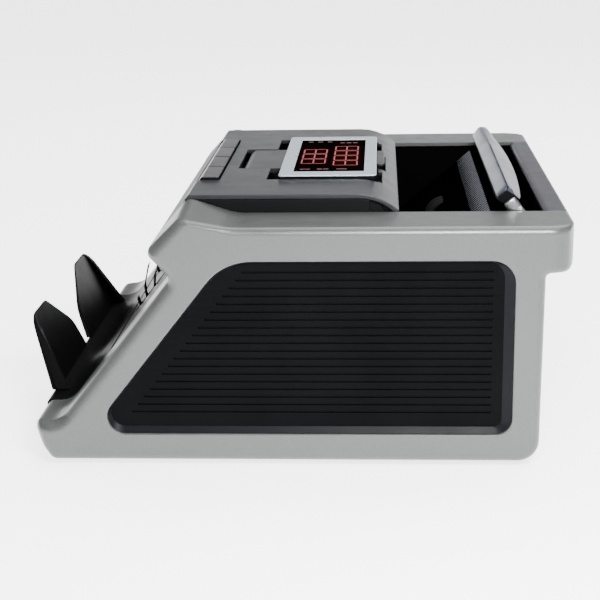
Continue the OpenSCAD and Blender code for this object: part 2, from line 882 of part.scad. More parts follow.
// ---- model ----------------------------------------------------------------

side_panel_right();
side_panel_left();
side_inset_right();
side_inset_left();
side_frame_right();
side_frame_left();
base_pan();
rubber_feet();
housing_screws();
stacker_tray();
stacker_prong_right();
stacker_prong_left();
stacker_back_plate();
front_fascia();
head_cover();
head_frame();
key_board();
hopper_floor();
hopper_front_plate();
handle_well();
rear_cover();
rear_panel();
inlet_socket();
switch_frame();
lower_guide();
upper_guide();
retard_rollers();
sensor_bars();
tie_rods();
bearings();
motor_body();
motor_shaft();
drive_belt();
transport_belts();
kick_belt();
main_board();
power_supply();
display_tray();
display_bezel();
display_window();
display_board();
display_arm();
handle_grip_front();
handle_grip_rear();
handle_end_caps();
handle_arms();
key_1();
key_2();
key_3();
key_4();
power_rocker();
feed_shaft();
feed_rollers();
kick_shaft();
kick_rollers();
transport_shaft();
transport_rollers();
pinch_rollers();
stacker_shaft();
stacker_wheels();
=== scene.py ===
import json
import math

import bmesh
import bpy
from mathutils import Matrix, Vector
from mathutils.geometry import tessellate_polygon

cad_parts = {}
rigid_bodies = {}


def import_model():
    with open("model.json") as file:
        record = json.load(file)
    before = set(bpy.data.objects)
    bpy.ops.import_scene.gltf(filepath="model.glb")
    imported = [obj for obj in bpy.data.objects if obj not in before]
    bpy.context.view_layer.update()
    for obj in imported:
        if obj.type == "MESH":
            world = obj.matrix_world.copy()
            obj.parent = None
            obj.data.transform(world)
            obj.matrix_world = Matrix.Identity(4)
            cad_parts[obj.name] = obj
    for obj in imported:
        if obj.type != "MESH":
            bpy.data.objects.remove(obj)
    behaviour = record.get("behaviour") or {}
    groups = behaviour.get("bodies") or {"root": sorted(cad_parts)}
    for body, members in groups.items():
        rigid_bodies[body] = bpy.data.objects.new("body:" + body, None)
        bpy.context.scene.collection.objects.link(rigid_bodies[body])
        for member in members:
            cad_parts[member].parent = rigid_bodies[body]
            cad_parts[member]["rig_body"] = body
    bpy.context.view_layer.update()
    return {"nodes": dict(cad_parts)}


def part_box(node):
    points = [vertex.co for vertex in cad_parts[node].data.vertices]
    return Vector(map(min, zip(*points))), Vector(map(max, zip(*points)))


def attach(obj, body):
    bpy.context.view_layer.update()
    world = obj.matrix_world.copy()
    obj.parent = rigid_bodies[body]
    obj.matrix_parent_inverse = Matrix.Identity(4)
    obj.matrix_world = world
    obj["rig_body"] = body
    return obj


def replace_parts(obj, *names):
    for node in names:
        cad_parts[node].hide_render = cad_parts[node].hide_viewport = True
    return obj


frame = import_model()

# Banknote counting machine. Lengths below are in millimetres and become metres in make().
# X runs across the machine, -Y is the operator's side, +Z is up.
MM = 0.001
NODES = frame["nodes"]


def lowest(node):
    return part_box(node)[0] / MM


def highest(node):
    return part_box(node)[1] / MM


HALF_W = highest("side_panel_right").x
HALF_IN = lowest("side_panel_right").x
REAR_Y = highest("side_panel_right").y
RIM_Z = 130.5
HEAD_Z = highest("head_cover").z
PLAN_R = 14
TIP_Y = -137.5
FIELD_X = HALF_W - 3.2


# ---- camera and light ------------------------------------------------------

CAMERA_PLACE = (0.80428, 0.05077, 0.293)
CAMERA_TURN = (3.566, 16.731, -1.15)
CAMERA_LENS = 81.33


def make_camera():
    """The camera stands off the machine's right-hand side and looks slightly down."""
    yaw, pitch, roll = (math.radians(turn) for turn in CAMERA_TURN)
    ahead = Vector((-math.cos(pitch) * math.cos(yaw), -math.cos(pitch) * math.sin(yaw), -math.sin(pitch)))
    right = ahead.cross(Vector((0, 0, 1))).normalized()
    up = right.cross(ahead)
    across = right * math.cos(roll) + up * math.sin(roll)
    upward = up * math.cos(roll) - right * math.sin(roll)
    camera = bpy.data.objects.new("camera", bpy.data.cameras.new("camera"))
    camera.data.sensor_width = 36
    camera.data.lens = CAMERA_LENS
    camera.data.clip_start = 0.01
    camera.matrix_world = Matrix.Translation(CAMERA_PLACE) @ Matrix(
        (across, upward, -ahead)).transposed().to_4x4()
    bpy.context.scene.collection.objects.link(camera)
    bpy.context.scene.camera = camera


def area_light(name, place, target, size, watts):
    light = bpy.data.lights.new(name, "AREA")
    light.shape = "RECTANGLE"
    light.size, light.size_y = size
    light.energy = watts
    lamp = bpy.data.objects.new(name, light)
    lamp.location = place
    lamp.rotation_euler = (Vector(target) - Vector(place)).to_track_quat("-Z", "Y").to_euler()
    bpy.context.scene.collection.objects.link(lamp)


# Name, place, target, size and power of each light; the last one brightens the near rim
LIGHTS = [
    ("top_light", (-0.45, 0.35, 1.35), (0, 0, 0.1), (1.4, 1.4), 33),
    ("front_light", (1.5, -0.9, 0.9), (0, 0, 0.08), (0.8, 0.8), 3),
    ("side_light", (1.6, 0.5, 0.9), (0, 0, 0.05), (1.0, 0.6), 9),
    ("band_light", (0.46, 0.14, 0.36), (0.14, 0.06, 0.12), (0.2, 0.1), 6),
]


def make_lights():
    for light in LIGHTS:
        area_light(*light)
    make_world()


# The room round the studio: height above the horizon (0 to 1) and brightness
ROOM = [(0.0, 2.6), (0.14, 2.6), (0.18, 0.12), (0.45, 0.05), (0.62, 0.6), (1.0, 1.0)]
ROOM_STRENGTH = 1.1
ROOM_BLUE = 1.03
FLOOR_GLOW = 3.0


def make_world():
    """A bright low horizon, a dark room above it and a bright ceiling."""
    world = bpy.data.worlds.new("studio")
    world.use_nodes = True
    tree = world.node_tree
    place = tree.nodes.new("ShaderNodeTexCoord")
    split = tree.nodes.new("ShaderNodeSeparateXYZ")
    shade = tree.nodes.new("ShaderNodeValToRGB")
    while len(shade.color_ramp.elements) < len(ROOM):
        shade.color_ramp.elements.new(0.5)
    for element, (height, value) in zip(shade.color_ramp.elements, ROOM):
        element.position = height
        element.color = (value, value, value * ROOM_BLUE, 1)
    tree.links.new(place.outputs["Generated"], split.inputs["Vector"])
    tree.links.new(split.outputs["Z"], shade.inputs["Fac"])
    tree.links.new(shade.outputs["Color"], tree.nodes["Background"].inputs["Color"])
    tree.nodes["Background"].inputs["Strength"].default_value = ROOM_STRENGTH
    bpy.context.scene.world = world


# ---- materials --------------------------------------------------------------

MATERIALS = {}


def new_material(name, rough, metallic=0.0, **sockets):
    """A material with its nodes and its surface shader; constant values sit on the shader's sockets."""
    material = bpy.data.materials.new(name)
    material.use_nodes = True
    MATERIALS[name] = material
    tree = material.node_tree
    surface = tree.nodes["Principled BSDF"]
    surface.inputs["Roughness"].default_value = rough
    surface.inputs["Metallic"].default_value = metallic
    for key, value in sockets.items():
        surface.inputs[key.replace("_", " ")].default_value = value
    return tree, surface


def noise(tree, size, detail=3.0, stretch=(1, 1, 1)):
    """Noise in the object's own coordinates, with features about size mm across."""
    place = tree.nodes.new("ShaderNodeTexCoord")
    mapping = tree.nodes.new("ShaderNodeMapping")
    mapping.inputs["Scale"].default_value = stretch
    texture = tree.nodes.new("ShaderNodeTexNoise")
    texture.inputs["Scale"].default_value = 1 / (size * MM)
    texture.inputs["Detail"].default_value = detail
    tree.links.new(place.outputs["Object"], mapping.inputs["Vector"])
    tree.links.new(mapping.outputs["Vector"], texture.inputs["Vector"])
    return texture.outputs["Fac"]


# The part of a noise's range that most of its values lie in
NOISE_MIDDLE = (0.3, 0.7)


def ramp(tree, value, low, high, start=NOISE_MIDDLE[0], end=NOISE_MIDDLE[1]):
    """Colours from low to high as value goes from start to end."""
    node = tree.nodes.new("ShaderNodeValToRGB")
    node.color_ramp.elements[0].position = start
    node.color_ramp.elements[1].position = end
    node.color_ramp.elements[0].color = (*low, 1)
    node.color_ramp.elements[1].color = (*high, 1)
    tree.links.new(value, node.inputs["Fac"])
    return node.outputs["Color"]


def span(tree, value, low, high):
    """A number from low to high over the middle part of a noise's range."""
    node = tree.nodes.new("ShaderNodeMapRange")
    node.inputs["From Min"].default_value, node.inputs["From Max"].default_value = NOISE_MIDDLE
    node.inputs["To Min"].default_value = low
    node.inputs["To Max"].default_value = high
    tree.links.new(value, node.inputs["Value"])
    return node.outputs["Result"]


def bump(tree, surface, height, strength, depth):
    node = tree.nodes.new("ShaderNodeBump")
    node.inputs["Strength"].default_value = strength
    node.inputs["Distance"].default_value = depth * MM
    tree.links.new(height, node.inputs["Height"])
    tree.links.new(node.outputs["Normal"], surface.inputs["Normal"])


def tint(colour, factor):
    return tuple(min(1.0, c * factor) for c in colour)


def moulded(name, colour, rough, grain=0.35, texture=0.18, vary=0.035, **sockets):
    """Moulded plastic: fine spark-eroded grain, and slow drifts of colour and gloss."""
    tree, surface = new_material(name, rough, **sockets)
    slow = ramp(tree, noise(tree, 30, 1), tint(colour, 1 - vary), tint(colour, 1 + vary))
    tree.links.new(slow, surface.inputs["Base Color"])
    fine = noise(tree, grain, 2)
    gloss = span(tree, noise(tree, 12, 2), rough - 0.02, rough + 0.03)
    tree.links.new(gloss, surface.inputs["Roughness"])
    bump(tree, surface, fine, texture, 0.04)


def metallic_paint(name, colour, rough, flake=0.45, sparkle=0.2, metallic=0.5):
    """Silver paint: bright and dark flakes under a thin clear layer."""
    tree, surface = new_material(name, rough, metallic, Coat_Weight=0.12, Coat_Roughness=0.2)
    flakes = noise(tree, flake, 1)
    tree.links.new(ramp(tree, flakes, tint(colour, 1 - sparkle), tint(colour, 1 + sparkle), 0.36, 0.64),
                   surface.inputs["Base Color"])
    tree.links.new(span(tree, noise(tree, 9, 4), rough - 0.04, rough + 0.05), surface.inputs["Roughness"])
    bump(tree, surface, noise(tree, 0.9, 3), 0.18, 0.05)


def brushed(name, colour, rough, stretch=(40, 1, 1)):
    """Turned or brushed metal, with fine lines across the stretched axis."""
    tree, surface = new_material(name, rough, 1.0)
    lines = noise(tree, 8, 4, stretch)
    tree.links.new(ramp(tree, lines, tint(colour, 0.85), tint(colour, 1.1)), surface.inputs["Base Color"])
    tree.links.new(span(tree, lines, rough - 0.06, rough + 0.1), surface.inputs["Roughness"])
    bump(tree, surface, lines, 0.15, 0.03)


def rubber(name, colour):
    tree, surface = new_material(name, 0.8, Specular_IOR_Level=0.06)
    tree.links.new(ramp(tree, noise(tree, 4, 5), tint(colour, 0.75), tint(colour, 1.35)),
                   surface.inputs["Base Color"])
    bump(tree, surface, noise(tree, 0.5, 3), 0.35, 0.08)


def lit(name, colour, strength):
    """A lamp segment, with the grain of its diffuser."""
    tree, surface = new_material(name, 0.35)
    shade = ramp(tree, noise(tree, 1.2, 2), tint(colour, 0.75), colour)
    tree.links.new(shade, surface.inputs["Base Color"])
    tree.links.new(shade, surface.inputs["Emission Color"])
    surface.inputs["Emission Strength"].default_value = strength


# Patches of copper in each metre of a circuit board
CIRCUIT_CELLS = 260


def circuit(name, colour):
    """Circuit board: green lacquer with darker and lighter patches of copper under it."""
    tree, surface = new_material(name, 0.35, Coat_Weight=0.4)
    cells = tree.nodes.new("ShaderNodeTexVoronoi")
    place = tree.nodes.new("ShaderNodeTexCoord")
    cells.inputs["Scale"].default_value = CIRCUIT_CELLS
    tree.links.new(place.outputs["Object"], cells.inputs["Vector"])
    tree.links.new(ramp(tree, cells.outputs["Distance"], tint(colour, 1.6), colour, 0.15, 0.45),
                   surface.inputs["Base Color"])
    bump(tree, surface, cells.outputs["Distance"], 0.2, 0.05)


def make_materials():
    metallic_paint("silver_paint", (0.070, 0.0735, 0.072), 0.38)
    metallic_paint("bezel_silver", (0.34, 0.38, 0.43), 0.30, 0.3, 0.05, 0.4)
    moulded("black_inset", (0.0015, 0.0017, 0.002), 0.38, 0.3, 0.2, 0.15, Specular_IOR_Level=0.02)
    # A lighter black for the inset's sloping border: a painted highlight of the light from above.
    moulded("inset_bevel_painted_highlight", (0.0035, 0.004, 0.005), 0.4, 0.3, 0.15, 0.08, Specular_IOR_Level=0.06)
    moulded("black_plastic", (0.0014, 0.0014, 0.0016), 0.42, 0.4, 0.3, 0.15, Specular_IOR_Level=0.05)
    # Black plastic for the hopper's inside, made darker still and without gloss: black plastic plus
    # painted shade.
    moulded("hopper_black_painted_shade", (0.0004, 0.0004, 0.0005), 0.5, 0.4, 0.3, 0.15, Specular_IOR_Level=0.0)
    moulded("head_grey", (0.0105, 0.0112, 0.0132), 0.34, Specular_IOR_Level=0.24)
    moulded("key_grey", (0.0095, 0.0098, 0.0112), 0.30, Specular_IOR_Level=0.26)
    moulded("dark_skirt", (0.003, 0.0032, 0.0034), 0.45, Specular_IOR_Level=0.06)
    moulded("rear_grey", (0.018, 0.0178, 0.024), 0.36, Specular_IOR_Level=0.26)
    moulded("handle_grey", (0.024, 0.028, 0.040), 0.3, 1.5, 0.03, Specular_IOR_Level=0.28)
    moulded("rocker_red", (0.25, 0.010, 0.008), 0.22, 0.5, 0.08)
    moulded("display_glass", (0.0016, 0.0008, 0.0008), 0.45, 0.6, 0.03, 0.2, Specular_IOR_Level=0.0)
    moulded("frame_steel", (0.0008, 0.0008, 0.001), 0.5, 0.6, 0.3, Specular_IOR_Level=0.01)
    brushed("steel", (0.40, 0.40, 0.41), 0.28)
    # Black brushed metal, darkened further as painted shade for the guides deep in the hopper.
    brushed("guide_black_painted_shade", (0.004, 0.004, 0.0045), 0.4, (1, 30, 1))
    brushed("psu_cage", (0.40, 0.41, 0.42), 0.4, (1, 1, 20))
    brushed("chrome", (0.55, 0.56, 0.58), 0.2, (1, 1, 30))
    brushed("arm_steel", (0.2, 0.2, 0.205), 0.34, (12, 12, 1))
    # Black rubber, darkened further as painted shade for the rollers deep in the hopper.
    rubber("rubber", (0.004, 0.004, 0.004))
    circuit("board", (0.004, 0.022, 0.009))
    lit("led_red", (0.2, 0.001, 0.0012), 0.2)
    lit("led_dim", (0.09, 0.004, 0.003), 0.2)
    # Light grey for the hopper's ribs, lighter than the black floor they stand on: painted highlight.
    moulded("rib_grey_painted_highlight", (0.075, 0.078, 0.09), 0.4, 0.5, 0.1, 0.1, Specular_IOR_Level=0.3)
    moulded("digit_face", (0.0065, 0.0009, 0.0008), 0.45, 0.5, 0.05, 0.2, Specular_IOR_Level=0.0)
    tree, surface = new_material("floor", 0.6)
    tree.links.new(ramp(tree, noise(tree, 400, 3), (0.92, 0.92, 0.92), (0.95, 0.95, 0.95)),
                   surface.inputs["Base Color"])
    surface.inputs["Emission Color"].default_value = (1, 1, 1, 1)
    surface.inputs["Emission Strength"].default_value = FLOOR_GLOW


# ---- mesh tools ---------------------------------------------------------------

TINY = 1e-4
NEAR = 0.01
# How strongly large faces keep their own shading, from 1 to 100
FLAT_FACE_WEIGHT = 90

def make(name, bm, material, body, smooth=32):
    """Turns millimetres into an object in metres, riding on a body."""
    bmesh.ops.remove_doubles(bm, verts=bm.verts, dist=TINY)
    bmesh.ops.dissolve_degenerate(bm, dist=1e-5, edges=bm.edges)
    bmesh.ops.recalc_face_normals(bm, faces=bm.faces)
    bmesh.ops.scale(bm, vec=(MM, MM, MM), verts=bm.verts)
    return finish_mesh(name, bm, [material], body, smooth)


def finish_mesh(name, bm, materials, body, smooth=32):
    mesh = bpy.data.meshes.new(name)
    bm.to_mesh(mesh)
    bm.free()
    mesh.shade_smooth()
    mesh.set_sharp_from_angle(angle=math.radians(smooth))
    piece = bpy.data.objects.new(name, mesh)
    for material in materials:
        mesh.materials.append(MATERIALS[material])
    bpy.context.scene.collection.objects.link(piece)
    even = piece.modifiers.new("even_shading", "WEIGHTED_NORMAL")
    even.keep_sharp = True
    even.weight = FLAT_FACE_WEIGHT
    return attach(piece, body)


def recolour(piece, material, test):
    """Gives another material to the faces of a piece that pass a test."""
    piece.data.materials.append(MATERIALS[material])
    for face in piece.data.polygons:
        if test(face.center / MM, face.normal):
            face.material_index = 1


def mirrored(bm):
    """The same mesh on the other side of the middle plane."""
    bmesh.ops.scale(bm, vec=(-1, 1, 1), verts=bm.verts)
    bmesh.ops.reverse_faces(bm, faces=bm.faces)
    return bm


def outline(corners, depths=0.0, steps=7):
    """A closed outline with rounded corners (a, b, radius), counter-clockwise, moved inwards.

    depths is one depth, or one for each edge; edge i runs from corner i to the next one.
    Every corner gives the same number of points, so outlines at several depths can be joined.
    """
    count = len(corners)
    if not isinstance(depths, (list, tuple)):
        depths = [depths] * count
    lines = []
    for i, (a, b, _) in enumerate(corners):
        c, d, _ = corners[(i + 1) % count]
        along = Vector((c - a, d - b)).normalized()
        inward = Vector((-along.y, along.x))
        lines.append((Vector((a, b)) + inward * depths[i], along))
    moved = []
    for i in range(count):
        (p, u), (q, v) = lines[i - 1], lines[i]
        cross = u.x * v.y - u.y * v.x
        if abs(cross) < 1e-6:
            moved.append(q)
        else:
            gap = q - p
            moved.append(p + u * ((gap.x * v.y - gap.y * v.x) / cross))
    points = []
    for i in range(count):
        u, v = -lines[i - 1][1], lines[i][1]
        turn = lines[i - 1][1].x * v.y - lines[i - 1][1].y * v.x
        depth = (depths[i - 1] + depths[i]) / 2
        radius = corners[i][2] - depth if turn > 0 else corners[i][2] + depth
        radius = max(radius, 0.02) if corners[i][2] > 0 else 0.02
        half = math.acos(max(-1, min(1, u.dot(v)))) / 2
        centre = moved[i] + (u + v).normalized() * radius / math.sin(half)
        start = moved[i] + u * radius / math.tan(half) - centre
        sweep = (math.pi - 2 * half) * (1 if turn > 0 else -1)
        for k in range(steps):
            t = sweep * k / (steps - 1)
            points.append(centre + Vector((start.x * math.cos(t) - start.y * math.sin(t),
                                           start.x * math.sin(t) + start.y * math.cos(t))))
    return points


def edge_blend(values, steps=7):
    """One value for each outline point, from one value for each edge."""
    blended = []
    for i in range(len(values)):
        for k in range(steps):
            t = k / (steps - 1)
            blended.append(values[i - 1] * (1 - t) + values[i] * t)
    return blended


def ring(bm, points):
    return [bm.verts.new(p) for p in points]


def band(bm, one, two):
    for i in range(len(one)):
        k = (i + 1) % len(one)
        bm.faces.new((one[i], one[k], two[k], two[i]))


def bands(bm, rings):
    for one, two in zip(rings, rings[1:]):
        band(bm, one, two)


def plate(bm, outer, hole=None):
    """Fills a flat ring of vertices, round a hole if there is one."""
    rings = [outer] + ([hole] if hole else [])
    every = [v for r in rings for v in r]
    for triangle in tessellate_polygon([[v.co for v in r] for r in rings]):
        picked = [every[i] for i in triangle]
        if len(set(picked)) == 3 and not bm.faces.get(picked):
            bm.faces.new(picked)


def arc(radius, steps=5):
    """Pairs (depth, drop) round a quarter circle, from the side wall to the top face."""
    turns = [math.pi / 2 * i / steps for i in range(steps + 1)]
    return [(radius * (1 - math.cos(t)), radius * (1 - math.sin(t))) for t in turns]


def bar_x(corners, x0, x1, radius, steps=5):
    """A bar along X with the given section in Y and Z, and rounded ends."""
    bm = bmesh.new()
    ends = [(x0 + drop, depth) for depth, drop in reversed(arc(radius, 4))]
    ends += [(x1 - drop, depth) for depth, drop in arc(radius, 4)]
    rings = [ring(bm, [(x, p.x, p.y) for p in outline(corners, depth, steps)]) for x, depth in ends]
    bands(bm, rings)
    plate(bm, rings[0])
    plate(bm, rings[-1])
    return bm


def slab_z(corners, z0, z1, radius, hole=None, hole_radius=0.3, steps=5):
    """A slab with the given plan, rounded along its upper edge and round its hole."""
    bm = bmesh.new()
    rings = [ring(bm, [(p.x, p.y, z0) for p in outline(corners, 0, steps)])]
    for depth, drop in arc(radius, 4):
        rings.append(ring(bm, [(p.x, p.y, z1 - drop) for p in outline(corners, depth, steps)]))
    bands(bm, rings)
    if not hole:
        plate(bm, rings[0])
        plate(bm, rings[-1])
        return bm
    inner = [ring(bm, [(p.x, p.y, z0) for p in outline(hole, 0, steps)])]
    for depth, drop in arc(hole_radius, 3):
        inner.append(ring(bm, [(p.x, p.y, z1 - drop) for p in outline(hole, -depth, steps)]))
    bands(bm, inner)
    plate(bm, rings[0], inner[0])
    plate(bm, rings[-1], inner[-1])
    return bm


def rectangle(x0, x1, y0, y1, radius):
    return [(x1, y0, radius), (x1, y1, radius), (x0, y1, radius), (x0, y0, radius)]


def joined(parts):
    """Several meshes in one."""
    whole = bmesh.new()
    for part in parts:
        scratch = bpy.data.meshes.new("scratch")
        part.to_mesh(scratch)
        part.free()
        whole.from_mesh(scratch)
        bpy.data.meshes.remove(scratch)
    return whole


def softened(node, width, material, segments=2, angle=30):
    """Stands for a CAD node with its sharp edges rounded over."""
    bm = bmesh.new()
    bm.from_mesh(NODES[node].data)
    bmesh.ops.remove_doubles(bm, verts=bm.verts, dist=2e-6)
    bmesh.ops.dissolve_limit(bm, angle_limit=math.radians(1), verts=bm.verts, edges=bm.edges)
    sharp = [e for e in bm.edges if len(e.link_faces) == 2 and e.calc_face_angle(0) > math.radians(angle)]
    bmesh.ops.bevel(bm, geom=sharp, offset=width * MM, offset_type="OFFSET", segments=segments,
                    profile=0.5, affect="EDGES", clamp_overlap=False)
    bmesh.ops.remove_doubles(bm, verts=bm.verts, dist=2e-6)
    bmesh.ops.recalc_face_normals(bm, faces=bm.faces)
    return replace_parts(finish_mesh(node + "_shell", bm, [material], NODES[node]["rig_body"]), node)


# ---- side housings --------------------------------------------------------------

LOW_REAR_Y = REAR_Y - 15.7
SHOULDER_Z = HEAD_Z - 0.9
SIDE = [
    (LOW_REAR_Y, 3, 11), (LOW_REAR_Y + 0.8, 106, 3), (REAR_Y, 106, 5), (REAR_Y, RIM_Z, 2.5),
    (-26, RIM_Z, 34), (-51.5, SHOULDER_Z, 6), (-70.5, 117.2, 4), (-58, 103.6, 4),
    (-121.5, 24, 14), (TIP_Y, 24, 4), (-131.5, 10, 4), (-126, 3, 6)
]
# Rounding of each edge of the housing, in the order of SIDE's corners
SIDE_ROUND = [5, 3, 5, 4, 4, 7, 5, 7, 6, 4, 4, 4]
SHOULDER_TILT = 7
SHOULDER_RISE = HEAD_Z - 0.3 - RIM_Z
WALL = 3.0
ROUND_STEPS = 8
PLAN_STEPS = 10
INSET = [(119, 18.8, 9), (119, 113, 12), (-29.8, 113, 30), (-104.6, 18.8, 9.5)]
# How far the inset's sloping border reaches in from each edge: rear, top, front, bottom
INSET_BORDER = [5.2, 0.9, 1.2, 3.4]
GROOVE_PITCH = 4.25
GROOVE_FIRST = 30.3
GROOVE_LAST = 108
GROOVE_REAR = 108
GROOVE_GAP = 14
GROOVE_DEPTH = 0.7
# Half a groove's width at its bottom and at the surface, and the length of its sloping ends
GROOVE_HALF = 0.3
GROOVE_EDGE = 0.55
GROOVE_END = 0.3


def plan_drop(y):
    """How far the housing's outer face falls back towards its front and rear ends."""
    past = max(TIP_Y + PLAN_R - y, y - (REAR_Y - PLAN_R), 0)
    return PLAN_R - math.sqrt(max(0, PLAN_R ** 2 - min(past, PLAN_R) ** 2))


def cut_across(bm, axis, place):
    """Cuts the whole mesh along a plane."""
    normal = Vector((0, 0, 0))
    normal[axis] = 1
    geometry = bm.verts[:] + bm.edges[:] + bm.faces[:]
    bmesh.ops.bisect_plane(bm, geom=geometry, dist=TINY, plane_co=normal * place, plane_no=normal)


def housing():
    """Right-hand housing: a shell with a soft outer edge round its side, and the inset's opening."""
    bm = bmesh.new()
    steps = 9
    lip = 0.5

    def loop(x, depth):
        return ring(bm, [(x, p.x, p.y) for p in outline(SIDE, depth, steps)])

    rings = [loop(HALF_W - WALL, WALL), loop(HALF_IN + lip, WALL), loop(HALF_IN, WALL - lip),
             loop(HALF_IN, lip), loop(HALF_IN + lip, 0)]
    blended = edge_blend(SIDE_ROUND, steps)
    for i in range(ROUND_STEPS + 1):
        t = math.pi / 2 * i / ROUND_STEPS
        points = outline(SIDE, [r * (1 - math.cos(t)) for r in SIDE_ROUND], steps)
        rings.append(ring(bm, [(HALF_W - r * (1 - math.sin(t)), p.x, p.y)
                               for p, r in zip(points, blended)]))
    bands(bm, rings)
    edge = ((HALF_W, -0.8), (HALF_W - 0.25, -0.25), (HALF_W - 0.8, 0), (HALF_W - WALL, 0))
    opening = [ring(bm, [(x, p.x, p.y) for p in outline(INSET, depth, steps)]) for x, depth in edge]
    bands(bm, opening)
    plate(bm, rings[-1], opening[0])
    plate(bm, rings[0], opening[-1])
    for i in range(PLAN_STEPS):
        turned = PLAN_R * math.sin(math.pi / 2 * i / PLAN_STEPS)
        cut_across(bm, 1, TIP_Y + PLAN_R - turned)
        cut_across(bm, 1, REAR_Y - PLAN_R + turned)
    for v in bm.verts:
        raised = max(0, v.co.z - RIM_Z) / SHOULDER_RISE
        v.co.z -= raised * (v.co.x - HALF_IN) * math.tan(math.radians(SHOULDER_TILT))
        if v.co.x > HALF_IN + 2:
            v.co.x -= plan_drop(v.co.y)
    return bm


def groove_start(z):
    """Front end of the groove at height z, a little behind the inset's slanting edge."""
    (high_y, high_z, _), (low_y, low_z, _) = INSET[2], INSET[3]
    return low_y + (z - low_z) * (high_y - low_y) / (high_z - low_z) + GROOVE_GAP


def inset_panel():
    """Right-hand inset: a black field with fine grooves inside a sloping border."""
    bm = bmesh.new()
    steps = 9
    profile = [(HALF_W - 6.4, 0.15), (HALF_W - 0.9, 0.15), (HALF_W - 1.2, 0.5)]
    rings = [ring(bm, [(x, p.x, p.y) for p in outline(INSET, d, steps)]) for x, d in profile]
    for x, extra in ((FIELD_X + 0.15, 0.0), (FIELD_X, 0.4)):
        depths = [d + extra for d in INSET_BORDER]
        rings.append(ring(bm, [(x, p.x, p.y) for p in outline(INSET, depths, steps)]))
    bands(bm, rings)
    plate(bm, rings[0])
    plate(bm, rings[-1])
    z = GROOVE_FIRST
    while z < GROOVE_LAST:
        for place in (z - GROOVE_EDGE, z - GROOVE_HALF, z + GROOVE_HALF, z + GROOVE_EDGE):
            cut_field(bm, 2, place, z)
        start, end = groove_start(z), GROOVE_REAR
        for place in (start, start + GROOVE_END, end - GROOVE_END, end):
            cut_field(bm, 1, place, z)
        start, end = start + GROOVE_END - NEAR, end - GROOVE_END + NEAR
        for v in bm.verts:
            if on_field(v) and abs(v.co.z - z) < GROOVE_HALF + NEAR and start < v.co.y < end:
                v.co.x -= GROOVE_DEPTH
        z += GROOVE_PITCH
    return bm


def on_field(v):
    return abs(v.co.x - FIELD_X) < NEAR


def cut_field(bm, axis, place, z):
    """Cuts only the flat field's faces, and only the groove at height z when the cut is upright."""
    faces = [f for f in bm.faces if all(on_field(v) for v in f.verts)]
    if axis == 1:
        faces = [f for f in faces if abs(f.calc_center_median().z - z) < GROOVE_EDGE]
    edges = list({e for f in faces for e in f.edges})
    verts = list({v for f in faces for v in f.verts})
    normal = Vector((0, 0, 0))
    normal[axis] = 1
    geometry = verts + edges + faces
    bmesh.ops.bisect_plane(bm, geom=geometry, dist=TINY, plane_co=normal * place, plane_no=normal)


def on_border_painted_highlight(centre, normal):
    """The inset's sloping border, painted a little lighter than its field as a painted highlight."""
    return 0.15 < abs(normal.x) < 0.95 and abs(centre.x) > FIELD_X + 0.1


def make_sides():
    for side in ("right", "left"):
        shell, panel = housing(), inset_panel()
        if side == "left":
            shell, panel = mirrored(shell), mirrored(panel)
        body = NODES["side_panel_" + side]["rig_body"]
        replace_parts(make("housing_shell_" + side, shell, "silver_paint", body, 24), "side_panel_" + side)
        piece = make("inset_" + side, panel, "black_inset", body, 24)
        # Painted highlight: the sloping border gets the lighter black.
        recolour(piece, "inset_bevel_painted_highlight", on_border_painted_highlight)
        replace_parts(piece, "side_inset_" + side)


# ---- head and display --------------------------------------------------------------

def on_key_side_painted_shade(centre, normal):
    """The sides of a key below its rounded top edge, painted black as painted shade."""
    return centre.z < highest("key_1").z - 0.45 and (abs(normal.x) > 0.6 or normal.y > 0.6)


def make_keys():
    """Four keys with softly rounded tops."""
    for i in range(1, 5):
        node = "key_%d" % i
        low, high = lowest(node), highest(node)
        section = [
            (high.y, low.z, 0.3), (high.y, high.z, 1.0), (low.y + 3.2, high.z, 1.8),
            (low.y, low.z + 3.2, 0.6), (low.y + 4.1, low.z + 3.2, 0.3), (low.y + 4.1, low.z, 0.3)
        ]
        piece = make("keycap_%d" % i, bar_x(section, low.x + 0.25, high.x - 0.25, 0.45), "key_grey", node)
        # Painted shade: the key's sides are black.
        recolour(piece, "black_plastic", on_key_side_painted_shade)
        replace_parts(piece, node)


DIGIT_H = 14.4
DIGIT_W = 14.2
DIGIT_PITCH = 15.6
# Rows of digits: y, how many, and x of the row's middle
DIGIT_ROWS = ((30.2, 4, 1.5), (11.4, 3, 3.8))
# Small indicator lamps: x, and each one's y
INDICATORS = ((-44.5, (7, 13, 19)), (-41, (27, 31, 35)), (42.5, (6, 9, 16, 19.5, 27, 30)))
STROKE = 0.8
STROKE_GAP = 0.5
DISPLAY_TOP = highest("display_window").z


def segment(bm, x, y, length, along_x, z):
    """One six-sided lamp segment; y runs up the digit."""
    half, thick = length / 2, STROKE / 2
    flat = [(-half, 0), (-half + thick, thick), (half - thick, thick), (half, 0),
            (half - thick, -thick), (-half + thick, -thick)]
    points = [(x + a, y + b) if along_x else (x + b, y + a) for a, b in flat]
    low = ring(bm, [(px, py, z - 0.5) for px, py in points])
    high = ring(bm, [(px, py, z) for px, py in points])
    band(bm, low, high)
    plate(bm, low)
    plate(bm, high)


def digit(bm, x, y, z):
    """All seven segments of a digit whose middle is at x, y."""
    up, out = (DIGIT_H - STROKE) / 2, (DIGIT_W - STROKE) / 2
    for level in (-1, 0, 1):
        segment(bm, x, y + level * up, 2 * out - STROKE_GAP, True, z)
    for side in (-1, 1):
        for level in (-1, 1):
            segment(bm, x + side * out, y + level * up / 2, up - STROKE_GAP, False, z)


